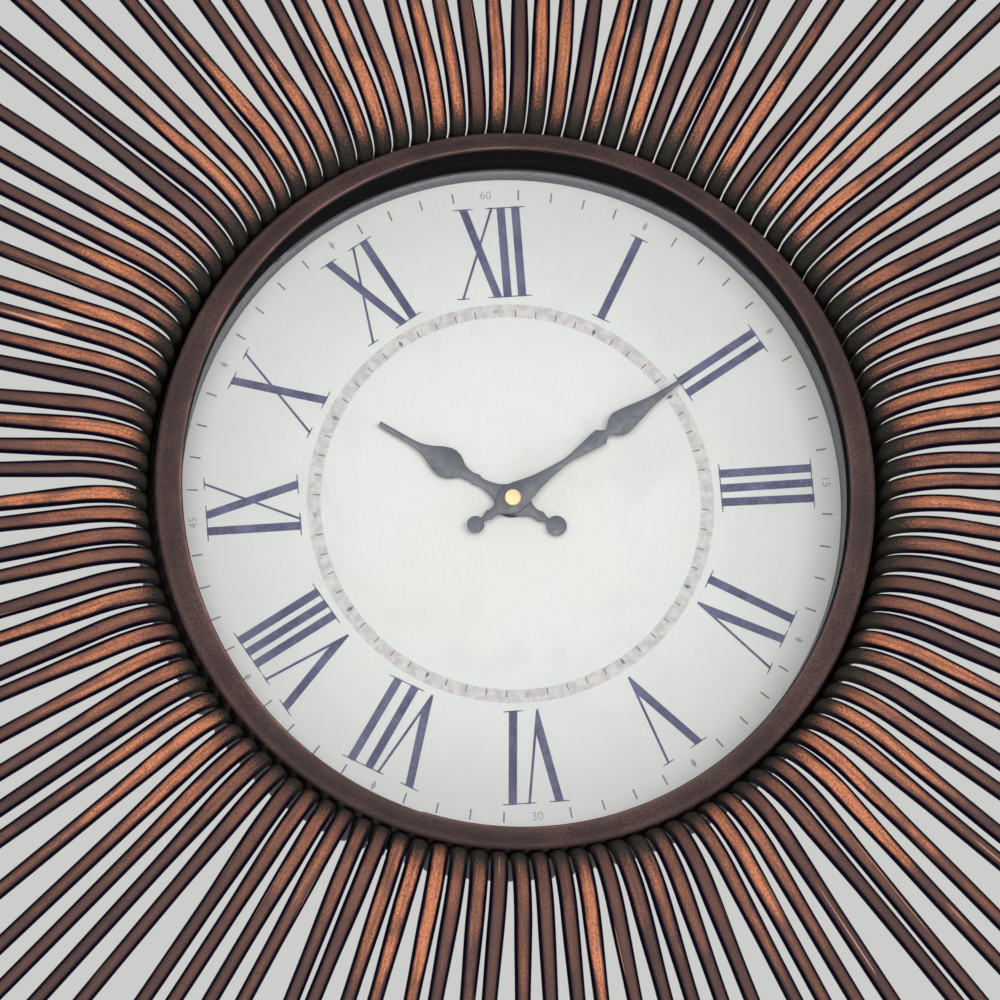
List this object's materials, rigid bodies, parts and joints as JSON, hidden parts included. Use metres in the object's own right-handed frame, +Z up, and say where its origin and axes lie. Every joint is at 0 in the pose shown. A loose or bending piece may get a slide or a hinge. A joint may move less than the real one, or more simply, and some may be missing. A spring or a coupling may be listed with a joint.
{
  "type": "sunburst wall clock",
  "caption": "Round battery wall clock: a framed dial with Roman numerals and two hands in a steel drum, ringed by bent metal rays that fold over from the drum and run outwards.",
  "frame": {"origin": "middle of the clock on the wall plane, which the drum's rear rim rests on", "axes": "+Z up, towards twelve on the dial; +X to the right of somebody facing the dial; +Y into the wall, so the dial faces -Y"},
  "size_m": [0.7615, 0.0912, 0.7614],
  "materials": {
    "rays": "satin",
    "bezel": "satin",
    "drum": "satin",
    "gasket": "matte",
    "spacer": "matte",
    "glass": "polished",
    "dial_paper": "matte",
    "hardboard": "matte",
    "zinc_steel": "satin",
    "rivet": "satin",
    "rubber_black": "matte",
    "movement_plastic": "matte",
    "brass": "satin",
    "gear_plastic": "satin",
    "knob_plastic": "satin",
    "stator_steel": "satin",
    "coil_copper": "satin",
    "board": "satin",
    "battery": "satin",
    "contact_steel": "satin",
    "hands": "satin",
    "cap_brass": "polished"
  },
  "bodies": {
    "case": {"drum": "drum", "bezel": "bezel", "rear_hoop": "drum", "front_hoop": "drum", "glass_gasket": "gasket", "dial_spacer": "spacer", "glass": "glass", "dial_paper": "dial_paper", "dial_backing": "hardboard", "dial_clips": "zinc_steel", "rear_panel": "hardboard", "panel_brackets": "zinc_steel", "panel_screws": "zinc_steel", "hanger_plate": "zinc_steel", "hanger_rivets": "rivet", "wall_bumpers": "rubber_black", "movement_rear_case": "movement_plastic", "movement_front_cover": "movement_plastic", "threaded_bushing": "brass", "rubber_washer": "rubber_black", "brass_washer": "brass", "hex_nut": "brass", "stator": "stator_steel", "coil": "coil_copper", "circuit_board": "board", "quartz_crystal": "stator_steel", "positive_contact": "contact_steel", "negative_contact": "contact_steel", "ray_fan_01": "rays", "ray_fan_02": "rays", "ray_fan_03": "rays", "ray_fan_04": "rays", "ray_fan_05": "rays", "ray_fan_06": "rays", "ray_fan_07": "rays", "ray_fan_08": "rays", "ray_fan_09": "rays", "ray_fan_10": "rays", "ray_fan_11": "rays", "ray_fan_12": "rays", "ray_fan_13": "rays", "ray_fan_14": "rays", "ray_fan_15": "rays", "ray_fan_16": "rays", "ray_fan_17": "rays", "ray_fan_18": "rays", "ray_fan_19": "rays", "ray_fan_20": "rays"},
    "minute_train": {"centre_wheel": "gear_plastic", "minute_hand": "hands", "cap_nut": "cap_brass"},
    "hour_train": {"hour_wheel": "gear_plastic", "hour_hand": "hands"},
    "motion": {"motion_wheel": "gear_plastic"},
    "third": {"third_wheel": "gear_plastic"},
    "rotor_body": {"rotor": "gear_plastic"},
    "setting": {"setting_pinion": "gear_plastic", "setting_knob": "knob_plastic"},
    "cell": {"battery": "battery"}
  },
  "joints": [
    {"name": "minute_turn", "type": "hinge", "parent": "case", "child": "minute_train", "pos_m": [0, -0.03, 0], "axis": [0, 1, 0], "continuous": true},
    {"name": "hour_turn", "type": "hinge", "parent": "case", "child": "hour_train", "pos_m": [0, -0.03, 0], "axis": [0, 1, 0], "continuous": true},
    {"name": "motion_turn", "type": "hinge", "parent": "case", "child": "motion", "pos_m": [-0.00902, -0.022, 0.00328], "axis": [0, 1, 0], "continuous": true},
    {"name": "third_turn", "type": "hinge", "parent": "case", "child": "third", "pos_m": [0.009, -0.017, 0.01073], "axis": [0, 1, 0], "continuous": true},
    {"name": "rotor_turn", "type": "hinge", "parent": "case", "child": "rotor_body", "pos_m": [0.021, -0.017, 0.01073], "axis": [0, 1, 0], "continuous": true},
    {"name": "setting_turn", "type": "hinge", "parent": "case", "child": "setting", "pos_m": [-0.01382, -0.015, 0.0116], "axis": [0, 1, 0], "continuous": true},
    {"name": "battery_slide", "type": "slide", "parent": "case", "child": "cell", "axis": [0, 1, 0], "range_m": [0, 0.02]}
  ],
  "couplings": [
    {"joint": "hour_turn", "follows": "minute_turn", "ratio": 0.083333},
    {"joint": "motion_turn", "follows": "minute_turn", "ratio": -0.33333},
    {"joint": "third_turn", "follows": "minute_turn", "ratio": -6},
    {"joint": "rotor_turn", "follows": "minute_turn", "ratio": 30},
    {"joint": "setting_turn", "follows": "minute_turn", "ratio": 1}
  ]
}
